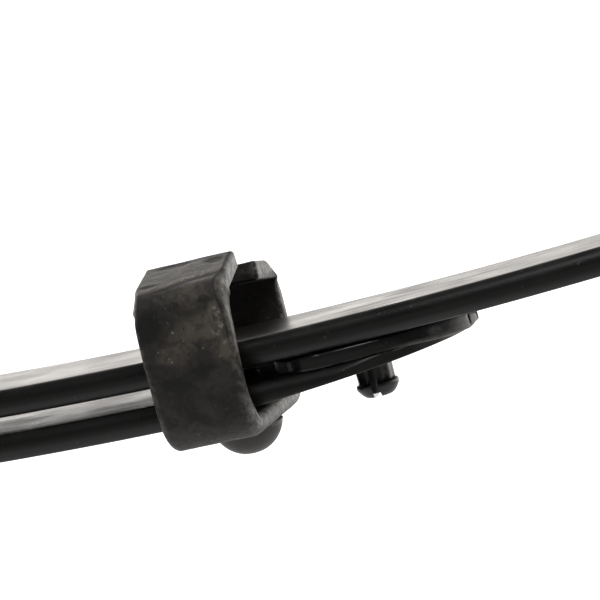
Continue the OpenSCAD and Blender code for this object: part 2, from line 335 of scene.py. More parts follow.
def painted_leaf():
    """Satin black paint on hot-rolled bar: roll marks along it, fine grain, dust and rubbed edges."""
    look = Look("leaf_paint")
    fine = look.noise(look.uv(1, 1), 950, 4, 0.6)
    along = look.noise(look.uv(14, 620), 1, 4, 0.65)
    scratch = look.noise(look.uv(22, 900), 1, 3, 0.6, 0.4)
    patch = look.noise(look.uv(1, 1), 34, 4, 0.6)
    wide = look.noise(look.uv(0.5, 1), 9, 3, 0.5)
    rub_and_painted_light = look.mark("rub_and_painted_light")
    lines = look.calc("MULTIPLY", look.level(scratch, 0.53, 0.64), look.level(patch, 0.35, 0.55))
    lines = look.calc("MULTIPLY", lines, rub_and_painted_light)
    dust_at = look.cells(look.uv(1, 1), 420)
    dusty = look.level(look.noise(look.uv(1, 1), 160, 2), 0.55, 0.68)
    dust = look.calc("MULTIPLY", look.level(dust_at, 0.16, 0.09), dusty)
    chipped = look.level(look.noise(look.uv(1, 1), 110, 4, 0.7), 0.5, 0.72)
    rubbed = look.calc("MULTIPLY", look.mark("wear"), chipped)
    colour = look.blend(patch, (0.0035, 0.0034, 0.0033), (0.009, 0.0086, 0.0082))
    colour = look.blend(look.calc("MULTIPLY", dust, 0.55), colour, (0.16, 0.15, 0.14))
    colour = look.blend(look.calc("MULTIPLY", lines, 0.5), colour, (0.05, 0.048, 0.045))
    colour = look.blend(look.calc("MULTIPLY", rubbed, 0.5), colour, (0.13, 0.125, 0.12))
    mean = look.calc("ADD", look.calc("MULTIPLY", patch, 0.5), look.calc("MULTIPLY", wide, 0.5))
    rough = look.level(mean, 0.3, 0.7, 0.25, 0.40)
    rough = look.calc("ADD", rough, look.calc("MULTIPLY", lines, 0.4))
    rough = look.calc("ADD", rough, look.calc("MULTIPLY", dust, 0.3))
    normal = look.bump(fine, 0.22, 0.00022)
    normal = look.bump(along, 0.16, 0.00035, normal)
    normal = look.bump(lines, 0.35, 0.0001, normal)
    look.to(Base_Color=colour, Roughness=rough, Normal=normal)
    return look.material


def clip_steel():
    """Dull dip-coated strap: brown-black, scuffed pale where it was handled, with specks and pits, and darker
    marks that include painted shade at the lips' free ends and under one scratch.
    """
    look = Look("clip_coat", Specular_IOR_Level=0.5)
    where = look.place()
    fine = look.noise(where, 1300, 4, 0.65)
    mid = look.noise(where, 330, 4, 0.6)
    patch = look.noise(where, 105, 5, 0.62, 0.5)
    broad = look.noise(where, 30, 3, 0.55, 0.3)
    rub_and_painted_light = look.mark("rub_and_painted_light")
    mottled = look.calc("ADD", rub_and_painted_light, look.calc("MULTIPLY", look.calc("SUBTRACT", patch, 0.5), 2.0))
    scuff = look.level(mottled, 0.15, 1.1)
    # Dark marks: soot-like patches, plus painted shade at the lips' free ends and a painted shadow line under
    # one scratch
    soot_and_painted_shade = look.level(mottled, -0.1, -0.9)
    spots = look.level(look.cells(where, 470), 0.22, 0.1)
    spots = look.calc("MULTIPLY", spots, look.level(look.noise(where, 190, 3), 0.5, 0.62))
    spots = look.calc("MULTIPLY", spots, look.level(mottled, -0.4, 0.5, 0.15, 1.0))
    flakes = look.calc("MULTIPLY", look.level(mid, 0.5, 0.58), look.level(mottled, 1.2, 1.7))
    spots = look.calc("MAXIMUM", spots, flakes)
    pits = look.level(look.cells(look.place(1.3, 1, 0.8), 300), 0.14, 0.05)
    rubbed = look.calc("MULTIPLY", look.mark("wear"), look.level(mid, 0.4, 0.62))
    colour = look.blend(look.level(patch, 0.3, 0.7), (0.018, 0.0165, 0.0150), (0.037, 0.032, 0.027))
    colour = look.blend(look.calc("MULTIPLY", soot_and_painted_shade, 0.8), colour, (0.006, 0.006, 0.006))
    colour = look.blend(look.calc("MULTIPLY", scuff, 0.75), colour, (0.135, 0.116, 0.096))
    colour = look.blend(look.calc("MULTIPLY", look.level(mid, 0.52, 0.4), 0.5), colour, (0.006, 0.006, 0.006))
    colour = look.blend(look.calc("MULTIPLY", rubbed, 0.75), colour, (0.30, 0.28, 0.255))
    colour = look.blend(look.calc("MULTIPLY", spots, 0.6), colour, (0.34, 0.32, 0.29))
    colour = look.blend(look.calc("MULTIPLY", pits, 0.7), colour, (0.004, 0.004, 0.004))
    rough = look.level(broad, 0.35, 0.65, 0.58, 0.44)
    rough = look.calc("ADD", rough, look.calc("MULTIPLY", scuff, 0.12))
    rough = look.calc("ADD", rough, look.calc("MULTIPLY", soot_and_painted_shade, 0.2))
    normal = look.bump(fine, 0.35, 0.0002)
    normal = look.bump(mid, 0.7, 0.0007, normal)
    normal = look.bump(mottled, 0.25, 0.0006, normal)
    look.to(Base_Color=colour, Roughness=rough, Normal=normal)
    return look.material


def rivet_steel():
    """Smooth cold-formed head under the same coat, a little browner and shinier."""
    look = Look("rivet_coat")
    where = look.place()
    fine = look.noise(where, 1500, 3, 0.6)
    mid = look.noise(where, 300, 3, 0.55)
    broad = look.noise(where, 70, 4, 0.6, 0.4)
    colour = look.blend(look.level(broad, 0.3, 0.7), (0.018, 0.0155, 0.0138), (0.034, 0.029, 0.0255))
    rubbed = look.calc("MULTIPLY", look.mark("wear"), look.level(mid, 0.35, 0.6))
    colour = look.blend(look.calc("MULTIPLY", rubbed, 0.45), colour, (0.16, 0.15, 0.14))
    rough = look.level(broad, 0.3, 0.7, 0.46, 0.34)
    dull = look.calc("MULTIPLY", look.calc("MINIMUM", look.mark("wear"), 0.0), 0.4)
    rough = look.calc("SUBTRACT", rough, dull)
    normal = look.bump(fine, 0.15, 0.00012)
    normal = look.bump(mid, 0.12, 0.0003, normal)
    look.to(Base_Color=colour, Roughness=rough, Normal=normal)
    return look.material


def liner_plastic():
    """Glossy moulded plastic with faint flow marks and fine grain, a pale grey painted reflection on the
    pads' rims and nubs, and a matt inner end.
    """
    look = Look("liner_moulding")
    where = look.place()
    flow = look.noise(look.place(1, 2.2, 3), 120, 3, 0.5, 0.6)
    fine = look.noise(where, 1700, 3, 0.6)
    dusty = look.level(look.noise(where, 260, 2), 0.56, 0.68)
    dust = look.calc("MULTIPLY", look.level(look.cells(where, 700), 0.16, 0.08), dusty)
    colour = look.blend(flow, (0.004, 0.004, 0.004), (0.009, 0.009, 0.009))
    colour = look.blend(look.calc("MULTIPLY", dust, 0.5), colour, (0.2, 0.2, 0.2))
    # Painted reflection: where the pad's mark is above 0 the colour turns pale grey; the mark's size, below 0
    # too, also raises roughness
    painted_reflection_breakup = look.level(look.noise(where, 240, 4, 0.6), 0.3, 0.6, 0.6, 1.0)
    painted_reflection_and_matt = look.calc("MULTIPLY", look.mark("rub_and_painted_light"), painted_reflection_breakup)
    colour = look.blend(painted_reflection_and_matt, colour, (0.34, 0.34, 0.32))
    matt = look.calc("MULTIPLY", look.calc("ABSOLUTE", painted_reflection_and_matt), 0.4)
    rough = look.calc("ADD", look.level(flow, 0.3, 0.7, 0.15, 0.28), matt)
    normal = look.bump(flow, 0.18, 0.0005)
    normal = look.bump(fine, 0.08, 0.0001, normal)
    look.to(Base_Color=colour, Roughness=rough, Normal=normal)
    return look.material


def bush_rubber():
    """Matt moulded rubber with bloom and a grain."""
    look = Look("rubber_moulding", Specular_IOR_Level=0.35)
    where = look.place()
    fine = look.noise(where, 900, 4, 0.65)
    bloom = look.noise(where, 90, 4, 0.6, 0.5)
    colour = look.blend(look.level(bloom, 0.4, 0.75), (0.012, 0.012, 0.012), (0.03, 0.029, 0.028))
    rough = look.level(bloom, 0.3, 0.7, 0.62, 0.8)
    normal = look.bump(fine, 0.3, 0.0003)
    look.to(Base_Color=colour, Roughness=rough, Normal=normal)
    return look.material


def plated_steel():
    """Dull zinc plate: turned rings, cloudy bloom and a few darker stains."""
    look = Look("zinc_plate", Metallic=1.0)
    where = look.place()
    turned = look.noise(look.uv(2600, 60), 1, 3, 0.6)
    cloud = look.noise(where, 130, 5, 0.62, 0.4)
    stain = look.level(look.noise(where, 55, 4, 0.6), 0.55, 0.75)
    colour = look.blend(cloud, (0.36, 0.36, 0.35), (0.56, 0.56, 0.53))
    colour = look.blend(look.calc("MULTIPLY", stain, 0.6), colour, (0.20, 0.19, 0.17))
    rough = look.level(cloud, 0.3, 0.7, 0.3, 0.48)
    normal = look.bump(turned, 0.12, 0.0001)
    look.to(Base_Color=colour, Roughness=rough, Normal=normal)
    return look.material


def pale_floor():
    """White to the camera; to the part, a bright field behind it, a lit strip under it and a dim front."""
    look = Look("studio_floor", Specular_IOR_Level=0.1, Roughness=0.9)
    look.to(Emission_Color=(1, 1, 1, 1))
    where = look.place()
    tone = look.noise(where, 3, 3, 0.5)
    seen = look.node("LightPath", out="Is Camera Ray")
    y = look.node("SeparateXYZ", {0: where}, out="Y")
    pale = look.blend(tone, (0.80, 0.80, 0.80), (0.84, 0.84, 0.84))
    look.to(Base_Color=look.blend(seen, (0.35, 0.35, 0.35), pale))
    behind = look.level(y, 0.12, 0.6, 0.0, 1.55)
    under = look.level(y, -0.20, -0.06, 0.0, 0.45)
    glow = look.calc("ADD", behind, under)
    unseen = look.calc("MULTIPLY", glow, look.calc("SUBTRACT", 1.0, seen))
    look.to(Emission_Strength=look.calc("ADD", unseen, look.calc("MULTIPLY", seen, 0.95)))
    return look.material


LEAF_PAINT, CLIP_COAT, RIVET_COAT = painted_leaf(), clip_steel(), rivet_steel()
PLASTIC, RUBBER, ZINC = liner_plastic(), bush_rubber(), plated_steel()


# ---- Leaves ----


def curved_corner(a, corner, b, parts=3):
    """Points from a to b, bowed towards the corner between them."""
    out = []
    for i in range(parts + 1):
        t = i / parts
        out.append(tuple((1 - t) ** 2 * p + 2 * t * (1 - t) * c + t * t * q for p, c, q in zip(a, corner, b)))
    return out


def leaf_section(half, low):
    """Ring of (across, up, wear, rub) points of a bar with rolled sides, cut at half and at low."""
    high = LEAF_T / 2
    soft = min(0.0005, 0.3 * (high - low))

    def side(z):
        return min(half, LEAF_W / 2 - EDGE_R + math.sqrt(EDGE_R**2 - z * z))

    top = curved_corner((side(high) - soft, high), (side(high), high), (side(high - soft), high - soft))
    foot = curved_corner((side(low + soft), low + soft), (side(low), low), (side(low) - soft, low))
    right = [(y, z, 0.9 if 0 < i < 3 else 0.35, 1.0 if i < 2 else 0.0) for i, (y, z) in enumerate(top)]
    for i in range(1, 6):
        z = high - soft + (low + soft - (high - soft)) * i / 6
        right.append((side(z), z, 0.05, 0.0))
    right += [(y, z, 0.9 if 0 < i < 3 else 0.35, 0.0) for i, (y, z) in enumerate(foot)]
    y0, y1 = right[-1][0], right[0][0]
    underside = [(y0 - 2 * y0 * i / 4, low, 0.0, 0.0) for i in range(1, 4)]
    left = [(-y, z, w, t) for y, z, w, t in reversed(right)]
    return right + underside + left + [(-y1 + 2 * y1 * i / 8, high, 0.0, 1.0) for i in range(1, 8)]


def placed(section, o, up, rubbed=1.0):
    """A section's ring in space, with the distance round it."""
    ring, girth, last = [], 0.0, None
    for y, z, wear, rub_and_painted_light in section:
        if last is not None:
            girth += math.hypot(y - last[0], z - last[1])
        last = (y, z)
        ring.append((o + ACROSS * y + up * z, girth, wear, rub_and_painted_light * rubbed))
    return ring


def bell(x):
    return math.exp(-x * x)


def nose_share(u):
    return math.sqrt(max(1 - min(max(u, 0), 1) ** 2.4, 0))


def steps(a, b, size):
    n = max(1, round((b - a) / size))
    return [a + (b - a) * i / n for i in range(n)]


def short_leaf(leaf):
    tip = HALF[leaf]
    taper, nose = tip - TAPER_L, tip - NOSE_L
    where = steps(0, SEAT, 0.01) + steps(SEAT, taper, 0.008) + steps(taper, nose, 0.004)
    where += [nose + NOSE_L * (1 - (1 - i / 26) ** 2) * 0.9994 for i in range(27)]
    shape, rings = Shape(), []
    slope = (LEAF_T - TIP_T) / TAPER_L
    for s in where:
        o, _, up = on_leaf(leaf, s)
        low = -LEAF_T / 2 + max(0.0, s - taper) * slope
        half = LEAF_W / 2 if s < nose else (LEAF_W / 2 + 0.0004) * nose_share((s - nose) / NOSE_L)
        rings.append(placed(leaf_section(half, low), o, up))
    shape.loft(rings, where)
    return shape


def main_leaf():
    where = steps(0, SEAT, 0.01) + steps(SEAT, HALF[MAIN], 0.008)
    full = leaf_section(LEAF_W / 2, -LEAF_T / 2)
    rings = []
    for s in where:
        here, _, up = on_leaf(MAIN, s)
        scraped = max(bell((s - place) / SCRAPE_L) for place in SCRAPED)
        rings.append(placed(full, here, up, 0.3 + 0.7 * scraped))
    o, along, up = on_leaf(MAIN, HALF[MAIN])
    r = EYE_R + LEAF_T / 2
    centre = o + up * r
    turns = 84
    for i in range(turns + 1):
        a = EYE_WRAP * i / turns
        inward = up * math.cos(a) - along * math.sin(a)
        rings.append(placed(full, centre - inward * r, inward))
        where.append(HALF[MAIN] + r * a)
    ahead = along * math.cos(EYE_WRAP) + up * math.sin(EYE_WRAP)
    for inset, push in ((0.00015, 0.00035), (0.0005, 0.0005)):
        narrow, thin = 1 - inset / (LEAF_W / 2), 1 - inset / (LEAF_T / 2)
        smaller = [(y * narrow, z * thin, 0.9, t) for y, z, _, t in full]
        rings.append(placed(smaller, centre - inward * r + ahead * push, inward))
        where.append(where[-1] + 0.0003)
    shape = Shape()
    shape.loft(rings, where)
    return shape


both_ends(main_leaf(), "main_leaf", LEAF_PAINT, "main_leaf", bends=True)
both_ends(short_leaf(SECOND), "second_leaf", LEAF_PAINT, "second_leaf", bends=True)
both_ends(short_leaf(THIRD), "third_leaf", LEAF_PAINT, "third_leaf", bends=True)


# ---- Rebound clips ----


def arc(p, h, r, turn, n):
    """Stations round a bend that starts at p with heading h: point, heading, curvature."""
    out = []
    for i in range(1, n + 1):
        a = h + turn * i / n
        q = (p[0] + r * (math.sin(a) - math.sin(h)), p[1] + r * (math.cos(h) - math.cos(a)))
        out.append((q, a, 1 / r))
    return out


def half_strap(wall, lip_angle):
    """Stations of the strap's middle line, from the middle of its plate to the end of its lip."""
    line = [((CLIP_FLAT * i / 7, 0.0), 0.0, 0.0) for i in range(8)]
    line += arc(line[-1][0], 0, CLIP_BEND_R + CLIP_T / 2, math.pi / 2 - LEAN_OUT, 18)
    lean = LEAN_OUT + LEAN_IN
    line += arc(line[-1][0], math.pi / 2 - LEAN_OUT, wall / lean, lean, 14)
    line += arc(line[-1][0], math.pi / 2 + LEAN_IN, CREASE_R, lip_angle - LEAN_IN, 14)
    (y, z), h, _ = line[-1]
    for i in range(1, 25):
        d = (CLIP_LIP - 0.0008) * i / 24
        line.append(((y + d * math.cos(h), z + d * math.sin(h)), h, 0.0))
    for d in (CLIP_LIP - 0.0003, CLIP_LIP):
        line.append(((y + d * math.cos(h), z + d * math.sin(h)), h, 0.0))
    return line


def smooth(x, a, b):
    """0 at a, 1 at b and beyond, smooth between."""
    t = min(max((x - a) / (b - a), 0.0), 1.0)
    return t * t * (3 - 2 * t)


def strap_section(width, thick, soft):
    """Ring of (along, out, wear) points of a strap with eased edges."""
    a, b = width / 2, thick / 2
    ring = []
    for sx, sy in ((1, 1), (-1, 1), (-1, -1), (1, -1)):
        corner = [
            (sx * (a - soft + soft * math.cos(t)), sy * (b - soft + soft * math.sin(t)), math.sin(2 * t))
            for t in (i * math.pi / 14 for i in range(8))
        ]
        if sx * sy < 0:
            corner.reverse()
        if ring:
            x0, y0, _ = ring[-1]
            x1, y1, _ = corner[0]
            long_side = abs(x1 - x0) > abs(y1 - y0)
            shares = [0.25, 0.5, 0.75]
            if long_side:
                shares = [0.02, 0.04] + [i / 12 for i in range(1, 12)] + [0.96, 0.98]
            ring += [(x0 + (x1 - x0) * t, y0 + (y1 - y0) * t, 0.0 if long_side else 0.8) for t in shares]
        ring += corner
    x0, y0, _ = ring[-1]
    x1, y1, _ = ring[0]
    ring += [(x0 + (x1 - x0) * t, y0 + (y1 - y0) * t, 0.8) for t in (0.25, 0.5, 0.75)]
    return ring


def clip_marks_and_painted_shade(x, above):
    """How far a wall's outside is made pale (above 0) or dark (below 0), at x and so far above its plate; one
    pale scratch gets a painted shadow line under it.
    """
    # Strength, middle (x, above), and spread each way, in mm
    marks = (
        (1.0, 9, 41, 7, 7), (0.8, 13, 33, 4, 8), (0.55, -4, 38, 7, 5), (0.4, -6, 31, 7, 4),
        (0.3, 2, 5, 16, 3.5), (-1.5, -11, 43, 4.5, 5.5), (-0.6, 0, 16, 18, 8), (-1.1, -7, 23.5, 5, 2.0),
        (-1.3, 6, 27.5, 8, 1.5), (-2.2, -5, 57.3, 6, 0.4), (-1.8, 10, 56.6, 3, 0.5),
        (-1.8, -12, 53.2, 2.5, 0.4), (0.6, 2, 50, 14, 2), (2.2, 12.8, 43, 1.6, 3.2),
        (1.9, 13.2, 36.5, 1.2, 1.8), (-1.2, 9.5, 47.5, 2.5, 1.2),
    )
    x, above = 1000 * x, 1000 * above
    rub_and_painted_light = sum(k * bell((x - cx) / sx) * bell((above - cz) / sz) for k, cx, cz, sx, sz in marks)
    # A pale scratch line across the wall, with a painted shadow line drawn dark just below it
    scratch = above - 53.0 - 0.06 * (x - 3)
    return rub_and_painted_light + bell((x - 3) / 11) * (2.4 * bell(scratch / 0.4) - 2.4 * bell((scratch + 0.75) / 0.35))


def clip(leaf):
    o, along, up = on_leaf(leaf, HALF[leaf] - CLIP_BACK)
    base = o - up * (LEAF_T / 2 + CLIP_DROP + CLIP_T / 2)
    deeper = (leaf - SECOND) * PITCH
    left = half_strap(CLIP_WALL[1] + deeper, LIP_ANGLE[1])
    right = [((-y, z), -h, k) for (y, z), h, k in half_strap(CLIP_WALL[-1] + deeper, LIP_ANGLE[-1])]
    line = list(reversed(right[1:])) + left
    us = [0.0]
    for (q0, _, _), (q1, _, _) in zip(line, line[1:]):
        us.append(us[-1] + math.dist(q0, q1))
    reach = [(b - a) / 2 for a, b in zip(us[:1] + us, us[1:] + us[-1:])]
    rings = []
    for n, ((y, z), h, _) in enumerate(line):
        far = us[n]
        near = [bell((u - far) / SPREAD_L) * r for u, r in zip(us, reach)]
        k = sum(w * e[2] for w, e in zip(near, line)) / sum(near)
        inward = ACROSS * -math.sin(h) + up * math.cos(h)
        edge = min(n, len(line) - 1 - n)
        inset = (0.0010, 0.0003)[edge] if edge < 2 else 0.0
        ring, girth, before = [], 0.0, None
        above = z + CLIP_T / 2
        low = smooth(above, 0.046, 0.020)
        for x, d, wear in strap_section(CLIP_W - 2 * inset, CLIP_T - 2 * inset, 0.0013 + 0.0014 * low):
            rub_and_painted_light = clip_marks_and_painted_shade(x, above) if d < 0 and abs(h) > 0.3 else 0.0
            if d < -CLIP_T / 2 + 0.0002 and x > CLIP_W / 2 - 0.0016:
                rub_and_painted_light -= (1 - low) * (1.6 + 1.5 * noise.noise(Vector((x * 40, far * 130, 2))))
            if d < -CLIP_T / 4:
                wear *= 0.3
            # Painted shade: each lip's last stations, at its free end, are made near black
            if edge < 3:
                rub_and_painted_light = -2.0
            # A bend spreads the strap's inner side and draws its outer side in
            x *= 1 + SPREAD * k * d
            lump = noise.noise(Vector((x * 70, far * 60, d * 40 + leaf * 3)))
            small = noise.noise(Vector((x * 260, far * 240, d * 200 + 5)))
            grow = 0.00022 * lump + 0.00006 * small
            middle = base + ACROSS * y + up * z
            p = middle + along * (x * (1 + 60 * grow)) + inward * (d + grow * d / CLIP_T * 2)
            if before is not None:
                girth += (p - before).length
            before = p
            ring.append((p, girth, wear, rub_and_painted_light))
        rings.append(ring)
    shape = Shape()
    shape.loft(rings, us)
    return shape


both_ends(clip(SECOND), "outer_clip", CLIP_COAT, "END_outer_clip", sharp=50)
both_ends(clip(THIRD), "inner_clip", CLIP_COAT, "END_inner_clip", bends=True, sharp=50)


# ---- Rivets ----


def rivet(leaf):
    o, along, up = on_leaf(leaf, HALF[leaf] - CLIP_BACK + RIVET_OFF)
    ball = (DOME_R**2 + DOME_H**2) / 2 / DOME_H
    rim = math.asin(DOME_R / ball) if DOME_H < ball else math.pi / 2
    plate = -LEAF_T / 2 - CLIP_DROP - CLIP_T
    top = LEAF_T / 2 + 0.0001
    profile = [(0.0, plate - DOME_H + 0.00012, 0.0)]
    for i in range(1, 25):
        a = rim * i / 24
        press = 0.00012 * max(0.0, 1 - (a / 0.35) ** 2)
        height = plate - DOME_H + ball * (1 - math.cos(a)) + press
        profile.append((ball * math.sin(a), height, 0.15 if i < 22 else 0.8))
    profile += [
        (DOME_R + 0.0002, plate - 0.0003, 0.9),
        (DOME_R, plate - 0.00002, 0.5),
        (RIVET_R, plate - 0.00002, 0.0),
        (RIVET_R, top, 0.0),
        (0.0082, top, -1.0),
        (0.0085, top + 0.0004, -1.0),
        (0.0083, top + 0.0014, -1.0),
        (0.0076, top + 0.0021, -1.0),
        (0.0062, top + 0.0024, -1.0),
        (0.0, top + 0.0025, -1.0),
    ]
    shape = Shape()
    shape.lathe(profile, (o, along, ACROSS, up), wobble=0.00006)
    return shape


both_ends(rivet(SECOND), "outer_rivet", RIVET_COAT, "END_outer_rivet", sharp=40)
both_ends(rivet(THIRD), "inner_rivet", RIVET_COAT, "END_inner_rivet", bends=True, sharp=40)


# ---- Tip liners ----


def pad_outline():
    """Half of the pad's plan, from its inner end to its tip: (along from the leaf's tip, across)."""
    w, start = LEAF_W / 2 - PAD_INSET, PAD_LIP - PAD_L
    length = NOSE_L + PAD_LIP
    out = [(start, y) for y in steps(0.0, w - PAD_END_R, 0.002)]
    for i in range(13):
        a = math.pi / 2 * (1 - i / 12)
        out.append((start + PAD_END_R * (1 - math.sin(a)), w - PAD_END_R + PAD_END_R * math.cos(a)))
    for i in range(1, 71):
        u = (1 - (1 - i / 70) ** 2) * length
        x = u - NOSE_L
        if x > out[-1][0] + 0.0001:
            out.append((x, w * nose_share(u / length)))
    return out


def pad(leaf):
    """Pad on top of a leaf's tip, whose rim turns down round the leaf's nose."""
    tip = HALF[leaf]
    plan = pad_outline()
    inward = []
    for i, (x, y) in enumerate(plan):
        x0, y0 = plan[max(i - 2, 0)]
        x1, y1 = plan[min(i + 2, len(plan) - 1)]
        if i < 2:
            nx, ny = 1.0, 0.0
        elif i > len(plan) - 3:
            nx, ny = -1.0, 0.0
        else:
            d = math.hypot(x1 - x0, y1 - y0)
            nx, ny = (y1 - y0) / d, -(x1 - x0) / d
        inward.append((nx, ny))
    base, high = LEAF_T / 2 + 0.0001, LEAF_T / 2 + 0.0001 + PAD_T
    # Distance in from the outline, share of the way from the turned-down rim to the base, height
    layers = [
        (0.0026, 1.0, 0.0), (0.0026, 0.2, 0.0), (0.0023, 0.0, 0.0), (0.0014, 0.0, 0.0),
        (0.0006, 0.05, 0.0), (0.0002, 0.2, 0.0), (0.0, 0.6, 0.0002), (0.0, 1.0, 0.0012),
        (0.0, 1.0, 0.0024), (0.0, 1.0, PAD_T - 0.0010), (0.00012, 1.0, PAD_T - 0.0005),
        (0.00045, 1.0, PAD_T - 0.00015), (0.0010, 1.0, PAD_T),
    ]
    shape = Shape()
    rings, painted_reflection_rows = [], []
    for inset, share, lift in layers:
        half, painted_reflection_row = [], []
        for (x, y), (nx, ny) in zip(plan, inward):
            deep = min(max((x + 0.024) / 0.022, 0.0), 1.0)
            rim = base - 0.0013 * deep * deep * (3 - 2 * deep)
            rim += 0.0018 * max((x - 0.0018) / 0.0024, 0.0) ** 2
            notch = 0.0013 * math.exp(-(((x - 0.0022) / 0.0003) ** 4)) if lift >= 0.0012 else 0.0
            round_off = min(max((x + 0.002) / 0.0062, 0.0), 1.0) ** 2
            px, py = x + nx * inset, max(y + ny * inset - notch, 0.0)
            z = rim + (base - rim) * share + lift * (1 - 0.42 * round_off)
            o, _, up = on_leaf(leaf, tip + px)
            half.append((o + up * z, py, px))
            # Painted reflection: the lower part of the turned-down rim near the tip, and the nub past it, get
            # a pale grey share standing in for the bright floor seen in them; the inner end gets a share
            # below 0 that only makes it matt
            rim_painted_reflection = deep * max(1 - (z - rim) / 0.0014, 0.0)
            painted_reflection_row.append(0.8 if x > 0.0024 else rim_painted_reflection - smooth(x, -0.058, -0.062))
        rings.append(half)
        painted_reflection_rows.append(painted_reflection_row)
    index = []
    for half, painted_reflection_row in zip(rings, painted_reflection_rows):
        right = [shape.add(p + ACROSS * y, 0.0, g) for (p, y, _), g in zip(half, painted_reflection_row)]
        left = [shape.add(p - ACROSS * y, 0.0, g) for (p, y, _), g in zip(half, painted_reflection_row)]
        index.append((right, left))
    n = len(plan)
    for (r0, l0), (r1, l1), a, b in zip(index, index[1:], rings, rings[1:]):
        for i in range(n - 1):
            near, next_near = (a[i][2], 0.05), (a[i + 1][2], 0.05)
            far, next_far = (a[i][2], 0.051), (a[i + 1][2], 0.051)
            shape.face((r0[i], r0[i + 1], r1[i + 1], r1[i]), (near, next_near, next_far, far))
            shape.face((l0[i + 1], l0[i], l1[i], l1[i + 1]), (next_near, near, far, next_far))
    for half, (right, left) in ((rings[0], index[0]), (rings[-1], index[-1])):
        for i in range(n - 1):
            (_, y0, u0), (_, y1, u1) = half[i], half[i + 1]
            corners = (right[i], right[i + 1], left[i + 1], left[i])
            shape.face(corners, ((u0, y0), (u1, y1), (u1, -y1), (u0, -y0)))
    return shape


def stud(leaf):
    """Grooved stem: two prongs, D-shaped across, each with a barb, and the web between them."""
    tip = HALF[leaf]
    o, along, up = on_leaf(leaf, tip - STUD_BACK)
    under = LEAF_T / 2 - TIP_T - (LEAF_T - TIP_T) * STUD_BACK / TAPER_L
    gap = SLOT_W / 2
    profile = [
        (LEAF_T / 2 + 0.001, STUD_R), (under - 0.0004, STUD_R),
        (under - 0.0009, STUD_R - 0.0002), (under - 0.0062, STUD_R - 0.0003),
        (under - 0.0069, STUD_R - 0.0001), (under - 0.0072, STUD_R + 0.0004),
        (under - 0.0074, BARB_R - 0.0001), (under - 0.0077, BARB_R), (under - 0.0086, BARB_R),
        (under - 0.0092, BARB_R - 0.0003), (under - 0.0108, BARB_R - 0.0014),
        (under - 0.0118, BARB_R - 0.0024), (under - 0.0122, BARB_R - 0.0032),
        (under - 0.0124, BARB_R - 0.0044),
    ]
    shape = Shape()
    for sign in (1, -1):
        rings, us, far = [], [], 0.0
        for n, (z, r) in enumerate(profile):
            if n:
                far += abs(profile[n - 1][0] - z)
            reach = math.acos(gap / r)
            ring = []
            for i in range(33):
                a = -reach + 2 * reach * i / 32
                ridge = 0.00018 * math.cos(11 * a) if n in (2, 3) else 0.0
                out = sign * max(gap, (r + ridge) * math.cos(a))
                p = o + along * out + ACROSS * ((r + ridge) * math.sin(a)) + up * z
                ring.append((p, r * (a + reach), 0.0, 0.0))
            y = r * math.sin(reach)
            for i in range(1, 6):
                back = 2 * y * i / 6
                p = o + along * (sign * gap) + ACROSS * (y - back) + up * z
                ring.append((p, 2 * r * reach + back, 0.0, 0.0))
            rings.append(ring)
            us.append(far)
        shape.loft(rings, us)
    web = 0.002
    rings = []
    for z in (LEAF_T / 2 + 0.001, under - 0.0106, under - 0.0112):
        side = web if z > under - 0.011 else web - 0.0004
        wide = gap + 0.0005
        square = ((wide, side), (-wide, side), (-wide, -side), (wide, -side))
        corners = [o + along * x + ACROSS * y + up * z for x, y in square]
        rings.append([(p, 0.004 * i, 0.0, 0.0) for i, p in enumerate(corners)])
    shape.loft(rings, [0.0, 0.011, 0.0116])
    return shape


for leaf, label, bends in ((SECOND, "outer", False), (THIRD, "inner", True)):
    node = f"END_{label}_liner"
    both_ends(pad(leaf), f"{label}_liner_pad", PLASTIC, node, bends=bends, sharp=45)
    both_ends(stud(leaf), f"{label}_liner_stud", PLASTIC, bends=bends, sharp=40)


# ---- Eye bushes ----


def eye_place():
    o, along, up = on_leaf(MAIN, HALF[MAIN])
    return (o + up * (EYE_R + LEAF_T / 2), along, up, ACROSS)


def tube_profile(length, outer, inner, soft):
    h = length / 2
    return [
        (inner + soft, -h, 1.0), (outer - soft, -h, 1.0), (outer, -h + soft, 0.8),
        (outer, 0.0, 0.0), (outer, h - soft, 0.8), (outer - soft, h, 1.0), (inner + soft, h, 1.0),
        (inner, h - soft, 0.6), (inner, 0.0, 0.0), (inner, -h + soft, 0.6),
    ]


def rubber_profile():
    outer, inner, h = EYE_R - SHELL_T - FIT_GAP, CORE_R + FIT_GAP, 0.033
    one = [
        (outer, 0.0), (outer, h - 0.0022), (outer - 0.0006, h - 0.0011), (outer - 0.0018, h - 0.0002),
        (outer - 0.0030, h), (outer - 0.0036, h - 0.0004), (outer - 0.0041, h - 0.0013),
        (outer - 0.0046, h - 0.0004), (outer - 0.0052, h), (inner + 0.0009, h),
        (inner + 0.0003, h - 0.0002), (inner, h - 0.0008), (inner, 0.0),
    ]
    other = [(r, -z) for r, z in reversed(one[1:-1])]
    return [(r, z, 0.0) for r, z in one + other]


def bush(label, profile, material, node, body):
    shape = Shape()
    shape.ring_lathe(profile, eye_place())
    for end, built in (("front", shape), ("rear", shape.flipped())):
        piece = built.build(f"{end}_{label}", material, 40)
        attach(piece, f"{end}_{body}")
        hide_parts(f"{end}_{node}")


shell = tube_profile(SHELL_L, EYE_R - FIT_GAP, EYE_R - SHELL_T, 0.0004)
core = tube_profile(CORE_L, CORE_R, CORE_BORE, 0.0006)
bush("bush_shell", shell, ZINC, "eye_outer_sleeve", "arm")
bush("bush_rubber", rubber_profile(), RUBBER, "eye_rubber", "arm")
bush("bush_core", core, ZINC, "eye_inner_sleeve", "bush_core")


# ---- Centre bolt and nut ----

UPRIGHT = (Vector((0, 0, 0)), Vector((1, 0, 0)), Vector((0, 1, 0)), Vector((0, 0, 1)))


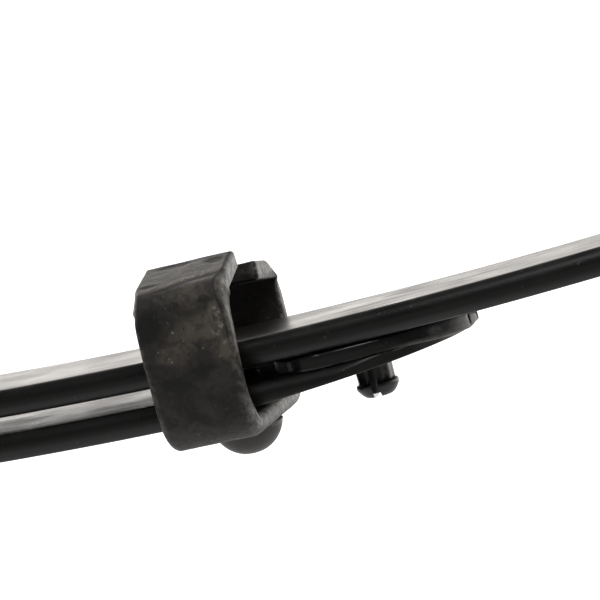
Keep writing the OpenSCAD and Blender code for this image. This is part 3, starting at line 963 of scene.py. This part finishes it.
def centre_bolt():
    shape = Shape()
    end = STACK + NUT_H + BOLT_TAIL
    o, x, y, z = UPRIGHT
    turns = 64
    heights = [-0.008, -0.00785, -0.0074, -0.007, 0.0, NUT_SPOT - 0.0002, NUT_SPOT, NUT_SPOT + 0.00002]
    radii = [0.0066, 0.0072, 0.0078, 0.008, 0.008, 0.008, 0.0078, BOLT_R]
    first = len(heights)
    begin = STACK + 0.002
    count = round((end - begin) / (THREAD / 10))
    heights += [begin + (end - begin) * i / count for i in range(count + 1)]
    radii += [BOLT_R] * (count + 1)
    rings = []
    for i, (h, r) in enumerate(zip(heights, radii)):
        ring = []
        for j in range(turns):
            a = 2 * math.pi * j / turns
            rr = r
            if i >= first:
                phase = (h / THREAD - j / turns) % 1.0
                fade = min(1.0, (h - begin) / 0.001)
                rr -= 0.00085 * abs(2 * phase - 1) * fade
                rr = min(rr, BOLT_R - max(0.0, h - (end - 0.001)))
            ring.append((o + x * (rr * math.cos(a)) + y * (rr * math.sin(a)) + z * h, r * a, 0.0, 0.0))
        rings.append(ring)
    shape.loft(rings, heights)
    return shape


def centre_nut():
    """Hexagon whose corners are turned down at both ends, with a thread's mouth chamfered."""
    shape = Shape()
    low, high = STACK - NUT_SPOT, STACK - NUT_SPOT + NUT_H
    flat, bore = NUT_FLATS / 2, BOLT_R + FIT_GAP
    turns = 96
    crest = flat * 0.97
    corner = flat / math.cos(math.pi / 6) - 0.00012
    rings, us = [], []
    for j in range(turns):
        a = 2 * math.pi * j / turns
        # Corners lie on X, as in the CAD nut
        edge = min(flat / math.cos((a % (math.pi / 3)) - math.pi / 6), corner)
        drop = max(edge - crest, 0.0) * math.tan(math.radians(30))
        r = Vector((math.cos(a), math.sin(a), 0))
        spots = [
            (bore, low + 0.0008), (bore + 0.0008, low), (crest - 0.0002, low), (crest, low + 0.00004),
            (edge, low + 0.0001 + drop), (edge, (low + high) / 2), (edge, high - 0.0001 - drop),
            (crest, high - 0.00004), (crest - 0.0002, high), (bore + 0.0008, high), (bore, high - 0.0008),
        ]
        ring, girth, last = [], 0.0, None
        for q, h in spots:
            if last:
                girth += math.hypot(q - last[0], h - last[1])
            last = (q, h)
            ring.append((r * q + Vector((0, 0, h)), girth, 0.5 if q == edge else 0.0, 0.0))
        rings.append(ring)
        us.append(a * flat)
    shape.loft(rings, us, wrap=True)
    return shape


for built, label in ((centre_bolt(), "centre_bolt"), (centre_nut(), "centre_nut")):
    piece = built.build(label + "_look", ZINC, 30)
    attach(piece, "leaf_pack")
    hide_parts(label)


# ---- CAD nodes that stay ----

for name in ("upper_seat_spacer", "lower_seat_spacer"):
    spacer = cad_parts[name]
    spacer.data.materials.clear()
    spacer.data.materials.append(CLIP_COAT)
    soft = spacer.modifiers.new("edges", "BEVEL")
    soft.width, soft.segments, soft.limit_method = 0.0004, 2, "ANGLE"


# ---- Studio ----

lowest = min(cad_low.z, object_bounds()[0].z)
bpy.ops.mesh.primitive_grid_add(x_subdivisions=2, y_subdivisions=2, size=60, location=(0, 0, lowest))
floor = bpy.context.object
floor.name = "studio_floor"
floor.data.materials.append(pale_floor())

world = bpy.data.worlds.new("studio")
bpy.context.scene.world = world
world.use_nodes = True
sky = world.node_tree
background = sky.nodes["Background"]


def sky_node(kind, inputs=(), out=0, **props):
    n = sky.nodes.new("ShaderNode" + kind)
    for key, value in props.items():
        setattr(n, key, value)
    for key, value in dict(inputs).items():
        if isinstance(value, bpy.types.NodeSocket):
            sky.links.new(value, n.inputs[key])
        else:
            n.inputs[key].default_value = value
    return n.outputs[out]


direction = sky_node("SeparateXYZ", {0: sky_node("TexCoord", out="Generated")}, out="Y")
height = sky_node("SeparateXYZ", {0: sky_node("TexCoord", out="Generated")}, out="Z")
behind = sky_node(
    "MapRange",
    {"Value": direction, "From Min": -0.45, "From Max": 0.35, "To Min": 0.05, "To Max": 1.0},
    interpolation_type="SMOOTHSTEP",
)
overhead = sky_node(
    "MapRange",
    {"Value": height, "From Min": 0.12, "From Max": 0.75, "To Min": 2.1, "To Max": 0.6},
    interpolation_type="SMOOTHSTEP",
)
lit = sky_node("Math", {0: behind, 1: overhead}, operation="MULTIPLY")
seen = sky_node("LightPath", out="Is Camera Ray")
share = {"Value": seen, "From Min": 0.0, "From Max": 1.0, "To Min": lit, "To Max": 1.1}
strength = sky_node("MapRange", share)
sky.links.new(strength, background.inputs["Strength"])
tint = sky.nodes.new("ShaderNodeMix")
tint.data_type = "RGBA"
tint.inputs[6].default_value = (1.0, 0.965, 0.925, 1)
tint.inputs[7].default_value = (1, 1, 1, 1)
sky.links.new(seen, tint.inputs[0])
sky.links.new(tint.outputs[2], background.inputs["Color"])


def softbox(name, where, towards, size, power):
    data = bpy.data.lights.new(name, "AREA")
    data.shape, data.size, data.size_y, data.energy = "RECTANGLE", size[0], size[1], power
    lamp = bpy.data.objects.new(name, data)
    lamp.location = where
    lamp.rotation_mode = "QUATERNION"
    lamp.rotation_quaternion = (Vector(towards) - Vector(where)).to_track_quat("-Z", "Y")
    bpy.context.scene.collection.objects.link(lamp)


softbox("softbox_side", (2.38, -1.06, 0.38), (0.47, 0, 0.08), (0.5, 0.3), 0.5)
softbox("softbox_front", (0.7, -1.9, 2.2), (0.3, 0, 0.08), (1.6, 1.2), 26)

# The camera, at the photograph's viewing angle, looks at one of the outer clips
AZIMUTH, ELEVATION, ROLL = math.radians(11.298), math.radians(6.499), math.radians(-2.12)
DISTANCE, OFF_RIGHT, OFF_UP = 0.77213, -0.024664, -0.017447
level = Vector((math.cos(AZIMUTH), math.sin(AZIMUTH), 0))
outwards = Vector((math.sin(AZIMUTH), -math.cos(AZIMUTH), 0))
back = outwards * math.cos(ELEVATION) + Vector((0, 0, math.sin(ELEVATION)))
upright = back.cross(level)
right = level * math.cos(ROLL) + upright * math.sin(ROLL)
above = upright * math.cos(ROLL) - level * math.sin(ROLL)
eye = on_leaf(MAIN, 0.468)[0] + back * DISTANCE - right * OFF_RIGHT - above * OFF_UP
camera = bpy.data.objects.new("camera", bpy.data.cameras.new("camera"))
camera.matrix_world = Matrix((*zip(right, above, back, eye), (0, 0, 0, 1)))
camera.data.lens, camera.data.sensor_width = 132.68, 36.0
bpy.context.scene.collection.objects.link(camera)
bpy.context.scene.camera = camera

bpy.context.scene.view_settings.view_transform = "Standard"
bpy.context.scene.view_settings.look = "None"
